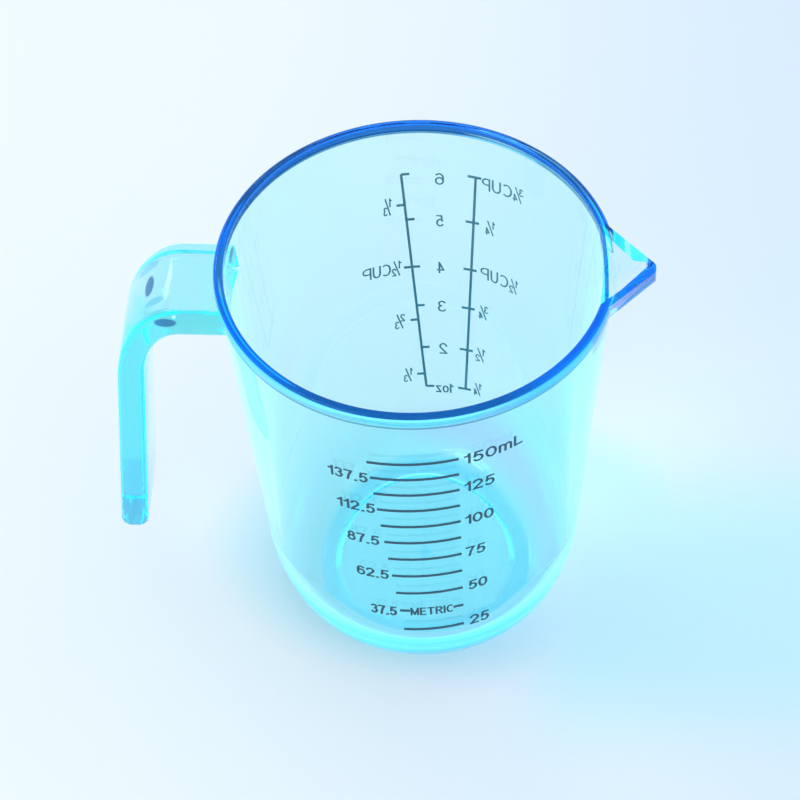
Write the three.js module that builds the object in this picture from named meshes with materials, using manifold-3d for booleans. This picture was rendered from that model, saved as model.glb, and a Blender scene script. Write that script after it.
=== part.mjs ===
// Small graduated measuring cup in transparent tinted plastic: a tapering cup that rounds
// in to a low foot ring, with a rim band, a V-shaped pouring spout, a hook handle and two
// printed scales. Millimetres, +Z up. The origin lies on the table, under the middle of
// the outline, +X points to the spout and -X to the handle.

import * as THREE from 'three';
import { mergeVertices } from 'three/addons/utils/BufferGeometryUtils.js';
import Module from 'manifold-3d';

// Cup body
const cupHeight = 79.6;
const rimRadius = 33.0; // outside of the rim band
const bandHeight = 2.6;
const bandStep = 0.4; // how far the band stands proud of the wall
const rimOuterRound = 0.8;
const rimInnerRound = 0.4;
const wallThickness = 1.5;
const wallTaper = 0.086; // radius lost for each millimetre down
const bendHeight = 20.8; // where the wall starts to round in to the foot
const footRadius = 18.9;
const footRingWidth = 2.6;
const footRecess = 0.8; // hollow under the floor, inside the foot ring
const floorThickness = 1.6;

// Pouring spout, a V of two flat sides that meet in a keel
const spoutReach = 39.3; // from the cup's axis to the tip
const spoutHalfWidth = 8.6; // where its sides leave the rim
const spoutDepth = 12.5; // from the rim top down to where the keel meets the wall
const spoutTipHeight = 3.0;
const spoutTipWidth = 1.6;
const spoutKeelWidth = 1.0;
const spoutWall = 1.3;
const channelTipWidth = 0.6;

// Handle: an arm out from the wall, a bend, and a grip that hangs free
const handleWidth = 15.6;
const armThickness = 6.5;
const armDrop = 4.2; // from the rim top to the arm's top face
const armLength = 38.6; // from the cup's axis to where the arm starts to bend
const bendOuterReach = 11.55; // both bends are quarters of an ellipse, taller than wide
const bendOuterDrop = 21.6;
const bendInnerReach = 6.75;
const bendInnerDrop = 11.3;
const gripLean = 0.071; // outward for each millimetre down
const gripInnerLean = 0.066;
const gripBottom = 17.2; // height of the free end above the table
const gripEndRound = 1.8;
const handleEdgeRound = 1.2;
const rootClearance = 0.3; // between the handle's root and the wall

// Metric scale, printed on the front: lines level with each step of volume
const metricStep = 12.5; // millilitres
const metricBottomStep = 2; // number of steps below the lowest line
const metricTopStep = 12;
const metricRightEnd = 8.3; // arc from the front to the lines' right ends
const metricLeftTop = 6.6; // arc to the left end of the top line
const metricLeftBottom = 2.0; // and of the lowest one
const metricWordStep = 3; // the line that a word breaks into two dashes
const metricDash = 1.7;
const metricLean = 0.06; // the print sits askew, higher towards the spout

// Ounce and cup scale, printed on the back: two stems that lean together
const ounceBottom = 16.2; // height of the lowest mark
const ounceTopDrop = 11.8; // from the rim top down to the highest mark
const ounceShares = [0, 0.196, 0.397, 0.579, 0.797, 1]; // how far up the scale each mark lies
const ouncesPerThird = 4 / 3;
const thirdsStemTop = 4.2; // arc from the back to the stem of thirds, at its top
const thirdsStemBottom = 0.7;
const quartersStemTop = -9.0;
const quartersStemBottom = -6.7;
const tickLength = 1.45; // to one side of a stem
const quartersOuterTick = 1.0;
const ounceLean = 0.045;

// Ink
const inkThickness = 0.12;
const inkClearance = 0.06; // keeps each printed film off the faceted wall
const lineWidth = 0.55;
const stemWidth = 0.45;

const cutRun = 2; // how far a cut runs past the face that it opens

// Facets
const aroundSteps = 72;
const bendSteps = 9;
const roundSteps = 3;
const handleBendSteps = 8;
const inkStepLength = 2.2;

const wasm = await Module();
wasm.setup();

// Sizes that follow from the ones above

const wallTopRadius = rimRadius - bandStep;
const bandBottom = cupHeight - bandHeight;
const floorHeight = footRecess + floorThickness;
const armTop = cupHeight - armDrop;

function wallRadius(z) {
  return wallTopRadius - wallTaper * (bandBottom - z);
}

// The wall below the bend is a quarter of an ellipse, from the wall down to a flat
function bendRadius(z, inset, bottom) {
  const flat = footRadius - inset;
  const side = wallRadius(bendHeight) - inset;
  const down = Math.min(1, (bendHeight - z) / (bendHeight - bottom));
  return flat + (side - flat) * Math.sqrt(1 - down * down);
}

function outerRadius(z) {
  return z >= bendHeight ? wallRadius(z) : bendRadius(z, 0, 0);
}

function innerRadius(z) {
  return z >= bendHeight ? wallRadius(z) - wallThickness : bendRadius(z, wallThickness, floorHeight);
}

// Height of the liquid at a volume in millilitres, by adding up thin slices from the floor
function fillHeight(millilitres) {
  const slice = 0.02;
  let volume = 0;
  let z = floorHeight;
  while (volume < millilitres * 1000) {
    volume += Math.PI * innerRadius(z + slice / 2) ** 2 * slice;
    z += slice;
  }
  return z;
}

// Geometry helpers

function toManifold(geometry) {
  const bare = geometry.clone();
  bare.deleteAttribute('normal');
  bare.deleteAttribute('uv');
  const merged = mergeVertices(bare, 1e-4);
  return new wasm.Manifold(new wasm.Mesh({
    numProp: 3,
    vertProperties: new Float32Array(merged.attributes.position.array),
    triVerts: new Uint32Array(merged.index.array),
  }));
}

function toGeometry(solid) {
  const mesh = solid.getMesh();
  const geometry = new THREE.BufferGeometry();
  geometry.setAttribute('position', new THREE.BufferAttribute(new Float32Array(mesh.vertProperties), 3));
  geometry.setIndex(new THREE.BufferAttribute(new Uint32Array(mesh.triVerts), 1));
  return geometry;
}

// A closed solid through rings of points that match one to one, capped at both ends
function loft(rings) {
  const size = rings[0].length;
  const last = (rings.length - 1) * size;
  const index = [];
  for (let start = 0; start < last; start += size) {
    for (let i = 0; i < size; i += 1) {
      const a = start + i;
      const b = start + ((i + 1) % size);
      index.push(a, b, b + size, a, b + size, a + size);
    }
  }
  for (let i = 1; i + 1 < size; i += 1) {
    index.push(0, i + 1, i);
    index.push(last, last + i, last + i + 1);
  }
  const points = rings.flat().flatMap((point) => point.toArray());
  const geometry = new THREE.BufferGeometry();
  geometry.setAttribute('position', new THREE.Float32BufferAttribute(points, 3));
  geometry.setIndex(index);
  return geometry;
}

// Points along an arc in a plane, from one angle to another
function arc(centreX, centreY, radius, from, to, steps) {
  const points = [];
  for (let i = 0; i <= steps; i += 1) {
    const angle = from + ((to - from) * i) / steps;
    points.push(new THREE.Vector2(centreX + radius * Math.cos(angle), centreY + radius * Math.sin(angle)));
  }
  return points;
}

// A closed profile of radius and height, turned about the cup's axis
function turned(profile) {
  return new THREE.LatheGeometry(profile, aroundSteps).rotateX(Math.PI / 2);
}

// Cup body

// The bend's points from its bottom up to the wall
function bendProfile(inset, bottom) {
  const points = [];
  for (let i = 0; i <= bendSteps; i += 1) {
    const z = bendHeight - (bendHeight - bottom) * Math.cos((Math.PI / 2) * (i / bendSteps));
    points.push(new THREE.Vector2(bendRadius(z, inset, bottom), z));
  }
  return points;
}

// The cup without its hollow, with the foot ring below and the band round the rim
function blankProfile() {
  const ringInside = footRadius - footRingWidth;
  const cornerRadius = rimRadius - rimOuterRound;
  const cornerHeight = cupHeight - rimOuterRound;
  return [
    new THREE.Vector2(0, footRecess),
    new THREE.Vector2(ringInside - footRecess, footRecess),
    new THREE.Vector2(ringInside, 0),
    ...bendProfile(0, 0),
    new THREE.Vector2(wallTopRadius, bandBottom),
    new THREE.Vector2(rimRadius, bandBottom),
    ...arc(cornerRadius, cornerHeight, rimOuterRound, 0, Math.PI / 2, roundSteps),
    new THREE.Vector2(0, cupHeight),
  ];
}

// The hollow, which flares where it rounds the rim's inner edge
function hollowProfile() {
  const cornerRadius = innerRadius(cupHeight) + rimInnerRound;
  const cornerHeight = cupHeight - rimInnerRound;
  return [
    new THREE.Vector2(0, floorHeight),
    ...bendProfile(wallThickness, floorHeight),
    ...arc(cornerRadius, cornerHeight, rimInnerRound, Math.PI, Math.PI / 2, roundSteps),
    new THREE.Vector2(cornerRadius, cupHeight + cutRun),
    new THREE.Vector2(0, cupHeight + cutRun),
  ];
}

// The spout's V-shaped wedge from inside the cup out to a distance from its axis. The inset
// moves the two sides inwards, so that the same wedge makes the spout and its channel
function spoutWedge(inset, tipWidth, top) {
  const rootX = Math.sqrt(rimRadius ** 2 - spoutHalfWidth ** 2);
  const sideSlope = (spoutHalfWidth - spoutTipWidth / 2) / (spoutReach - rootX);
  const keelRoot = wallRadius(cupHeight - spoutDepth);
  const keelSlope = (spoutDepth - spoutTipHeight) / (spoutReach - keelRoot);
  const steepness = spoutDepth / spoutHalfWidth;
  const keelLift = inset * Math.hypot(1, steepness, steepness * sideSlope);
  const sideShift = inset * Math.hypot(1, sideSlope);
  const ring = (x) => {
    const rimHalf = spoutTipWidth / 2 + (spoutReach - x) * sideSlope - sideShift;
    const keel = cupHeight - spoutTipHeight - (spoutReach - x) * keelSlope + keelLift;
    const keelHalf = Math.min(spoutKeelWidth, rimHalf) / 2;
    const topHalf = keelHalf + ((rimHalf - keelHalf) * (top - keel)) / (cupHeight - keel);
    return [
      new THREE.Vector3(x, topHalf, top),
      new THREE.Vector3(x, -topHalf, top),
      new THREE.Vector3(x, -keelHalf, keel),
      new THREE.Vector3(x, keelHalf, keel),
    ];
  };
  const tipX = spoutReach - (tipWidth / 2 - spoutTipWidth / 2 + sideShift) / sideSlope;
  return toManifold(loft([ring(rootX - spoutHalfWidth), ring(tipX)]));
}

function cupBody() {
  const blank = toManifold(turned(blankProfile()));
  const spout = spoutWedge(0, spoutTipWidth, cupHeight);
  const channel = spoutWedge(spoutWall, channelTipWidth, cupHeight + cutRun);
  const hollow = toManifold(turned(hollowProfile()));
  return toGeometry(blank.add(spout).subtract(hollow).subtract(channel));
}

// Handle

// The outline in distance from the cup's axis and height
function handleOutline() {
  const armUnderside = armTop - armThickness;
  const root = wallRadius(armUnderside) - cutRun;
  const bend = (top, reach, drop, lean) =>
    arc(0, 0, 1, Math.PI / 2, Math.atan((lean * drop) / reach), handleBendSteps).map(
      (point) => new THREE.Vector2(armLength + reach * point.x, top - drop + drop * point.y),
    );
  const outerBend = bend(armTop, bendOuterReach, bendOuterDrop, gripLean);
  const innerBend = bend(armUnderside, bendInnerReach, bendInnerDrop, gripInnerLean);
  const outerEnd = outerBend[outerBend.length - 1];
  const innerEnd = innerBend[innerBend.length - 1];
  const endHeight = gripBottom + gripEndRound;
  const outerCorner = outerEnd.x + gripLean * (outerEnd.y - endHeight) - gripEndRound;
  const innerCorner = innerEnd.x + gripInnerLean * (innerEnd.y - endHeight) + gripEndRound;
  return [
    new THREE.Vector2(root, armTop),
    ...outerBend,
    ...arc(outerCorner, endHeight, gripEndRound, 0, -Math.PI / 2, roundSteps),
    ...arc(innerCorner, endHeight, gripEndRound, -Math.PI / 2, -Math.PI, roundSteps),
    ...innerBend.reverse(),
    new THREE.Vector2(root, armUnderside),
  ];
}

function handleBody() {
  const shape = new THREE.Shape(handleOutline().map((point) => new THREE.Vector2(-point.x, point.y)));
  const bar = new THREE.ExtrudeGeometry(shape, {
    depth: handleWidth - 2 * handleEdgeRound,
    bevelThickness: handleEdgeRound,
    bevelSize: handleEdgeRound,
    bevelOffset: -handleEdgeRound,
    bevelSegments: roundSteps,
  });
  bar.rotateX(Math.PI / 2).translate(0, handleWidth / 2 - handleEdgeRound, 0);
  const top = armTop + cutRun;
  const bottom = armTop - armThickness - cutRun;
  const wall = turned([
    new THREE.Vector2(0, bottom),
    new THREE.Vector2(wallRadius(bottom) + rootClearance, bottom),
    new THREE.Vector2(wallRadius(top) + rootClearance, top),
    new THREE.Vector2(0, top),
  ]);
  return toGeometry(toManifold(bar).subtract(toManifold(wall)));
}

// Printed ink

const metricSide = new THREE.Vector2(1, -1); // arcs run towards the spout, seen from the front
const ounceSide = new THREE.Vector2(-1, 1);

// A film between two places on the wall, each given as its arc and its height. It hugs the
// wall with a section every few millimetres
function stroke(side, lean, from, to, width) {
  const inside = inkClearance;
  const outside = inkClearance + inkThickness;
  const along = to.clone().sub(from);
  const across = new THREE.Vector2(-along.y, along.x).setLength(width / 2);
  const place = (spot, lift) => {
    const z = spot.y + lean * side.x * spot.x;
    const radius = outerRadius(z) + lift;
    const angle = spot.x / outerRadius(spot.y);
    return new THREE.Vector3(side.x * radius * Math.sin(angle), side.y * radius * Math.cos(angle), z);
  };
  const steps = Math.ceil(along.length() / inkStepLength);
  const rings = [];
  for (let i = 0; i <= steps; i += 1) {
    const middle = from.clone().addScaledVector(along, i / steps);
    const left = middle.clone().add(across);
    const right = middle.clone().sub(across);
    rings.push([place(right, inside), place(left, inside), place(left, outside), place(right, outside)]);
  }
  return toManifold(loft(rings));
}

function metricStroke(step, from, to) {
  const height = fillHeight(step * metricStep);
  const start = new THREE.Vector2(from, height);
  const end = new THREE.Vector2(to, height);
  return toGeometry(stroke(metricSide, metricLean, start, end, lineWidth));
}

function metricLeftEnd(step) {
  const lowest = fillHeight(metricBottomStep * metricStep);
  const highest = fillHeight(metricTopStep * metricStep);
  const share = (fillHeight(step * metricStep) - lowest) / (highest - lowest);
  return -THREE.MathUtils.lerp(metricLeftBottom, metricLeftTop, share);
}

function ounceHeight(ounces) {
  const below = Math.min(Math.floor(ounces), ounceShares.length - 1);
  const share = THREE.MathUtils.lerp(ounceShares[below - 1], ounceShares[below], ounces - below);
  return THREE.MathUtils.lerp(ounceBottom, cupHeight - ounceTopDrop, share);
}

function stemArc(topArc, bottomArc, height) {
  const share = (height - ounceBottom) / (cupHeight - ounceTopDrop - ounceBottom);
  return THREE.MathUtils.lerp(bottomArc, topArc, share);
}

// A stem with its ticks, each given in ounces with its reach to the left and to the right
function scaleStem(topArc, bottomArc, ticks) {
  const top = new THREE.Vector2(topArc, ounceHeight(ounceShares.length));
  const bottom = new THREE.Vector2(bottomArc, ounceHeight(1));
  let film = stroke(ounceSide, ounceLean, bottom, top, stemWidth);
  for (const [ounces, left, right] of ticks) {
    const height = ounceHeight(ounces);
    const middle = stemArc(topArc, bottomArc, height);
    const from = new THREE.Vector2(middle - left, height);
    const to = new THREE.Vector2(middle + right, height);
    film = film.add(stroke(ounceSide, ounceLean, from, to, stemWidth));
  }
  return film;
}

function thirdsScale() {
  const ticks = [];
  for (let ounces = 1; ounces <= ounceShares.length; ounces += 1) {
    const alsoThird = Number.isInteger(ounces / ouncesPerThird);
    ticks.push([ounces, tickLength, alsoThird ? tickLength : 0]);
  }
  for (let third = 1; third * ouncesPerThird < ounceShares.length; third += 1) {
    ticks.push([third * ouncesPerThird, 0, tickLength]);
  }
  return scaleStem(thirdsStemTop, thirdsStemBottom, ticks);
}

function quartersScale() {
  const ticks = [];
  for (let ounces = 1; ounces <= ounceShares.length; ounces += 1) {
    ticks.push([ounces, quartersOuterTick, tickLength]);
  }
  return scaleStem(quartersStemTop, quartersStemBottom, ticks);
}

// Materials and assembly

const plastic = new THREE.MeshStandardMaterial({
  color: 0x8fe6fb,
  roughness: 0.06,
  metalness: 0,
  transparent: true,
  opacity: 0.55,
});
const ink = new THREE.MeshStandardMaterial({ color: 0x17304f, roughness: 0.5, metalness: 0 });

const root = new THREE.Group();

function addPiece(name, geometry, material) {
  const piece = new THREE.Mesh(geometry, material);
  piece.name = name;
  root.add(piece);
  return piece;
}

addPiece('cup_body', cupBody(), plastic);
const handle = addPiece('handle', handleBody(), plastic);

for (let step = metricBottomStep; step <= metricTopStep; step += 1) {
  const left = metricLeftEnd(step);
  if (step === metricWordStep) {
    addPiece('metric_dash_left', metricStroke(step, left, left + metricDash), ink);
    addPiece('metric_dash_right', metricStroke(step, metricRightEnd - metricDash, metricRightEnd), ink);
  } else {
    const label = String(step * metricStep).replace('.', '_');
    addPiece(`metric_line_${label}`, metricStroke(step, left, metricRightEnd), ink);
  }
}
addPiece('thirds_scale', toGeometry(thirdsScale()), ink);
addPiece('quarters_scale', toGeometry(quartersScale()), ink);

// The cup's axis lies off the origin by half of what the handle reaches past the spout
handle.geometry.computeBoundingBox();
const handleReach = -handle.geometry.boundingBox.min.x;
root.position.x = (handleReach - spoutReach) / 2;

export default root;
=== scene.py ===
# A small graduated measuring cup in clear, blue-tinted plastic, on a pale floor. The wall,
# spout and handle are modelled as the one moulding that they are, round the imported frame,
# and the two printed scales lie on the wall. Lengths are in metres.

import math

import bpy
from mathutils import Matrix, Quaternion, Vector


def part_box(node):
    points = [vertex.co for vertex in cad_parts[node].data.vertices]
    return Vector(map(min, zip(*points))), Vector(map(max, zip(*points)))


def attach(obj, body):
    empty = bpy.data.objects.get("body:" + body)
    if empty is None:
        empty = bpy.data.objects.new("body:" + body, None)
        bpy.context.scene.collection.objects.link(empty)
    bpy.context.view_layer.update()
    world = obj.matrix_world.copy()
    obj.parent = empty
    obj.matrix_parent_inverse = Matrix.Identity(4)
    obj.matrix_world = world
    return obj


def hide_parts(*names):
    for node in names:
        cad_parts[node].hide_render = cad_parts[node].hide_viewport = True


bl_info = {
    "name": "Measuring cup",
    "version": (1, 0, 0),
    "blender": (4, 5, 0),
    "location": "View3D > Sidebar > Cup",
    "description": "Models a small tinted measuring cup and its two printed scales",
    "category": "Add Mesh",
}

MM = 0.001
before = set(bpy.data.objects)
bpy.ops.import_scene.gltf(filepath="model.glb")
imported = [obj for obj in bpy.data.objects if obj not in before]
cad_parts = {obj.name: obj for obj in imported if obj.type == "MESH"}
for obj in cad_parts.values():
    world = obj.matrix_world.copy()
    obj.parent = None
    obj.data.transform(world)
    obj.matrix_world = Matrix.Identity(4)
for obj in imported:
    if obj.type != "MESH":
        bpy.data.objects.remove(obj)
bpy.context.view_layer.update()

# Places that come from the frame
body_low, body_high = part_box("cup_body")
handle_low, handle_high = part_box("handle")
RIM_RADIUS = (body_high.y - body_low.y) / 2
AXIS_X = body_low.x + RIM_RADIUS
CUP_HEIGHT = body_high.z
SPOUT_REACH = body_high.x - AXIS_X
HANDLE_REACH = AXIS_X - handle_low.x
HANDLE_WIDTH = handle_high.y - handle_low.y
ARM_TOP = handle_high.z
GRIP_BOTTOM = handle_low.z

# Fineness of the meshes: steps round the cup, down a bend, and in roundings from fine to coarse
AROUND = 192
BEND_RINGS = 24
ROUND_STEPS = 8
SMALL_STEPS = 5
EDGE_STEPS = 3

# A letter's arc has a step for so many degrees, and at least so many steps
ARC_STEP = 18
ARC_STEPS = 6

# How far a cut runs past the face that it opens, and what counts as the same place
CUT_RUN = 4 * MM
NEAR = 0.1 * MM


def length(name, description, millimetres):
    """A size that the user can change, given here in millimetres."""
    return bpy.props.FloatProperty(
        name=name, description=description, default=millimetres * MM, unit="LENGTH", precision=5
    )


def colour(name, description, value):
    """A colour that the user can change."""
    return bpy.props.FloatVectorProperty(
        name=name, description=description, default=value, subtype="COLOR", size=4, min=0, max=1
    )


class CupSizes(bpy.types.PropertyGroup):
    """Sizes of the moulding that its box doesn't give."""

    wall: length("Wall", "Thickness of the wall", 1.5)
    band_height: length("Band height", "Height of the band round the rim", 2.6)
    band_step: length("Band step", "How far the band stands proud of the wall", 0.4)
    rim_outer_round: length("Outer rim radius", "Rounding of the rim's outer edge", 0.8)
    rim_inner_round: length("Inner rim radius", "Rounding of the rim's inner edge", 0.4)
    taper: bpy.props.FloatProperty(
        name="Taper", description="Radius that the wall loses for each unit down", default=0.086
    )
    bend_height: length("Bend height", "Where the wall starts to round in to the foot", 20.8)
    foot_radius: length("Foot radius", "Outer radius of the foot ring", 18.9)
    foot_ring: length("Foot ring", "Width of the flat ring that the cup stands on", 2.6)
    foot_recess: length("Foot recess", "Hollow under the floor inside the ring", 0.8)
    floor: length("Floor", "Thickness of the floor", 1.6)
    spout_half: length("Spout half width", "Where the spout's sides leave the rim", 8.6)
    spout_depth: length("Spout depth", "From the rim down to where the keel meets the wall", 12.5)
    spout_tip_height: length("Tip height", "Height of the spout at its tip", 3.0)
    spout_tip_width: length("Tip width", "Width of the spout at its tip", 1.6)
    spout_keel: length("Keel width", "Width of the spout's keel", 1.0)
    spout_wall: length("Spout wall", "Thickness of the spout's sides", 1.2)
    channel_shift: length("Channel shift", "How far the channel lies off the spout's middle", 0.75)
    spout_dip: length("Spout dip", "How far the spout's top sinks towards its tip", 1.1)
    channel_tip: length("Channel tip", "Width of the channel at its tip", 0.6)
    spout_edge: length("Spout edge radius", "Rounding of the spout's keel and tip", 0.45)
    channel_edge: length("Channel edge radius", "The same inside the channel", 0.2)
    arm: length("Arm thickness", "Thickness of the handle's arm", 6.5)
    arm_length: length("Arm length", "From the cup's axis to the handle's bend", 38.6)
    bend_outer_drop: length("Outer bend drop", "How far down the outer bend runs", 21.6)
    bend_inner_reach: length("Inner bend reach", "How far out the inner bend runs", 6.75)
    bend_inner_drop: length("Inner bend drop", "How far down the inner bend runs", 11.3)
    grip_round: length("Grip end radius", "Rounding of the grip's free end", 1.8)
    handle_edge: length("Handle edge radius", "Rounding of the handle's edges", 1.2)
    grip_lean: bpy.props.FloatProperty(
        name="Grip lean", description="How far out the grip runs for each unit down", default=0.071
    )
    grip_inner_lean: bpy.props.FloatProperty(
        name="Inner lean", description="The same on the grip's inner side", default=0.066
    )
    ink: length("Ink thickness", "Thickness of the printed letters", 0.06)
    ink_gap: length("Ink gap", "Between the wall and the print", 0.03)
    pen: length("Pen", "Width of the letters' strokes", 0.45)
    ounce_bottom: length("Lowest mark", "Height of the lowest mark on the back", 16.2)
    ounce_top_drop: length("Highest mark", "From the rim to the highest mark there", 11.8)
    metric_lean: bpy.props.FloatProperty(
        name="Metric lean", description="How much the front print climbs to the right", default=0.06
    )
    ounce_lean: bpy.props.FloatProperty(
        name="Ounce lean", description="The same for the print on the back", default=0.045
    )


class CupFinish(bpy.types.PropertyGroup):
    """Colours. A surface tint is what white light becomes where it crosses the surface twice. Most
    tints other than the plain ones are painted shade, painted highlights or painted reflections.
    """

    surface_tint: colour("Surface tint", "Tint of the plain surfaces", (0.86, 1, 1, 1))
    # Painted shade: the bend's lower right is painted darker.
    low_painted_shade: colour("Low tint", "The same low on the right", (1, 0.66, 0.92, 1))
    # Painted shade: the cup's floor is painted a deeper cyan, for the tinted shade under it.
    cup_floor_shade: colour("Floor tint", "Surface tint of the cup's floor", (0.66, 0.97, 1, 1))
    # Painted shade on the foot ring that shows through the floor; the gate mark is a real mark.
    foot_shade_and_gate: colour("Foot tint", "The same on foot ring and gate mark", (0.42, 0.92, 1, 1))
    # Painted shade: the band is painted blue, palest at the front and deepest on the right.
    band_front: colour("Band, front", "Surface tint of the band's front", (0.33, 0.83, 0.98, 1))
    band_left: colour("Band, left", "Surface tint of the band's left", (0.11, 0.5, 0.95, 1))
    band_right: colour("Band, right", "Surface tint of the band's right", (0.02, 0.32, 0.98, 1))
    # Painted shade: a dark line under the band's step.
    ledge_shade: colour("Ledge tint", "Surface tint under the band", (0.03, 0.2, 0.33, 1))
    # Painted shade on the rim: dark on its top and on the back's rounding, with a lighter line at
    # its sides.
    rim_front: colour("Rim, front", "Surface tint on the rim's top", (0.001, 0.012, 0.07, 1))
    rim_shading: colour("Rim", "The same at the rim's sides and back", (0.003, 0.042, 0.34, 1))
    rim_line: colour("Rim line", "The same on a thin line at its sides", (0.15, 0.4, 0.9, 1))
    rim_back: colour("Rim, back", "The same on the back's outer rounding", (0.004, 0.06, 0.4, 1))
    # Painted shade: the spout's front is painted deep blue; its back is left clear.
    spout_shading: colour("Spout tint", "Surface tint of the spout's front", (0.002, 0.07, 0.5, 1))
    spout_back: colour("Spout, back", "The same on its back side", (0.9, 0.97, 1, 1))
    # Painted shade in the crease where the spout leaves the wall.
    crease_shade: colour("Crease tint", "The same where it leaves the wall", (0.003, 0.06, 0.25, 1))
    handle_tint: colour("Handle tint", "Surface tint of the handle", (0.9, 0.98, 1, 1))
    tip_tint: colour("Grip end tint", "Surface tint of the grip's end", (0.6, 0.72, 1, 1))
    # Painted reflections: dark patches and deeper streaks where the handle bends.
    patch_reflection: colour("Patch tint", "Dark patches where the handle bends", (0.01, 0.08, 0.3, 1))
    streak_reflection: colour("Streak tint", "Deeper streaks beside them", (0.25, 0.65, 0.9, 1))
    # Painted reflection: the painted dark surfaces mirror a dimmer blue instead of white light.
    dark_gloss: colour("Dark gloss", "What the dark surfaces mirror", (0.15, 0.35, 0.65, 1))
    tint: colour("Tint", "What white light becomes in the plastic", (0.05, 0.93, 0.98, 1))
    tint_strength: bpy.props.FloatProperty(
        name="Tint strength", description="How fast the plastic takes on its tint", default=100
    )
    trapped: colour("Trapped light", "Light that stays in the plastic", (0.65, 0.64, 0.92, 1))
    trapped_back: colour("Trapped, back", "The same in the spout's back", (0.2, 0.5, 0.8, 1))
    trapped_spout: colour("Trapped, spout", "The same in the spout's front", (0.01, 0.15, 0.6, 1))
    trapped_handle: colour("Trapped, handle", "The same in the handle", (0.14, 0.82, 1, 1))
    ink: colour("Ink", "Colour of the print", (0.006, 0.05, 0.095, 1))
    thin_ink: colour("Thin ink", "Colour of the fainter print behind", (0.04, 0.15, 0.23, 1))
    floor: colour("Floor", "Colour of the floor on the left", (0.865, 0.925, 0.985, 1))
    floor_far: colour("Floor, right", "Colour of the floor on the right", (0.69, 0.82, 0.99, 1))
    # Painted shadow: the tinted shadow that the cup throws on the floor.
    pool: colour("Pool", "Colour of the light that the cup throws round it", (0.54, 0.86, 1, 1))


def sizes():
    return bpy.context.scene.cup_sizes


def finish():
    return bpy.context.scene.cup_finish


# The wall's form, as radius at a height above the table


def wall_radius(z):
    """Outer radius of the wall under the band."""
    s = sizes()
    return RIM_RADIUS - s.band_step - s.taper * (CUP_HEIGHT - s.band_height - z)


def bend_radius(z, inset, bottom):
    """Radius of the bend, a quarter of an ellipse. The inside is the same form, inset."""
    s = sizes()
    flat = s.foot_radius - inset
    side = wall_radius(s.bend_height) - inset
    down = min(1.0, (s.bend_height - z) / (s.bend_height - bottom))
    return flat + (side - flat) * math.sqrt(1 - down * down)


def outer_radius(z):
    """Outer radius of the wall or the bend."""
    return wall_radius(z) if z >= sizes().bend_height else bend_radius(z, 0, 0)


# Modelling helpers


def deselect():
    """Goes to object mode with nothing selected."""
    if bpy.context.object and bpy.context.object.mode != "OBJECT":
        bpy.ops.object.mode_set(mode="OBJECT")
    bpy.ops.object.select_all(action="DESELECT")


def pick(obj):
    """Makes obj the one selected, active object."""
    deselect()
    obj.select_set(True)
    bpy.context.view_layer.objects.active = obj


def edit(obj, chosen=None, kind="VERT"):
    """Enters edit mode with the vertices or edges for which chosen is true selected, or all."""
    pick(obj)
    bpy.ops.object.mode_set(mode="EDIT")
    bpy.ops.mesh.select_mode(type=kind)
    bpy.ops.mesh.select_all(action="DESELECT")
    bpy.ops.object.mode_set(mode="OBJECT")
    for part in obj.data.vertices if kind == "VERT" else obj.data.edges:
        part.select = chosen is None or bool(chosen(part))
    bpy.ops.object.mode_set(mode="EDIT")


def leave():
    bpy.ops.object.mode_set(mode="OBJECT")


def named(name):
    """Names the object that was just made, and its data."""
    obj = bpy.context.object
    obj.name = obj.data.name = name
    return obj


def settle(obj):
    """Puts the object's place, turn and scale into its mesh."""
    pick(obj)
    bpy.ops.object.transform_apply(location=True, rotation=True, scale=True)
    return obj


def combine(obj, other, operation):
    """Joins other to obj or cuts it away, and removes it."""
    pick(obj)
    modifier = obj.modifiers.new(operation.title(), "BOOLEAN")
    modifier.operation = operation
    modifier.solver = "MANIFOLD"
    modifier.object = other
    bpy.ops.object.modifier_apply(modifier=modifier.name)
    pick(other)
    bpy.ops.object.delete()
    pick(obj)


def drawn(curve, places):
    """Draws a line through the places in a curve."""
    spline = curve.splines.new("POLY")
    spline.points.add(len(places) - 1)
    for point, place in zip(spline.points, places):
        point.co = (*place, 1)
    return spline


def meshed(name, curve):
    """Turns a curve into a mesh."""
    obj = bpy.data.objects.new(name, curve)
    bpy.context.collection.objects.link(obj)
    pick(obj)
    bpy.ops.object.convert(target="MESH")
    return named(name)


def turned(name, profile):
    """A closed turned solid on the cup's axis. The first disc is extruded ring by ring."""
    radius, height = profile[0]
    deselect()
    bpy.ops.mesh.primitive_circle_add(
        vertices=AROUND, radius=radius, fill_type="NGON", location=(AXIS_X, 0, height)
    )
    obj = settle(named(name))
    edit(obj)
    for new_radius, new_height in profile[1:]:
        bpy.ops.mesh.extrude_region_move(
            TRANSFORM_OT_translate={"value": (0, 0, new_height - height)}
        )
        ratio = new_radius / radius
        bpy.ops.transform.resize(
            value=(ratio, ratio, 1), center_override=(AXIS_X, 0, new_height)
        )
        radius, height = new_radius, new_height
    bpy.ops.mesh.select_all(action="SELECT")
    bpy.ops.mesh.normals_make_consistent(inside=False)
    leave()
    return obj


def arc(out, up, radius, start, end, steps):
    """Points of a rounding about a centre, from one angle in degrees to another."""
    turns = [math.radians(start + (end - start) * i / steps) for i in range(steps + 1)]
    return [(out + radius * math.cos(a), up + radius * math.sin(a)) for a in turns]


def bend(inset, bottom):
    """The bend from the foot up to the wall."""
    top = sizes().bend_height
    points = []
    for i in range(BEND_RINGS + 1):
        z = top - (top - bottom) * math.cos(math.pi / 2 * i / BEND_RINGS)
        points.append((bend_radius(z, inset, bottom), z))
    return points


# The moulding


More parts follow.
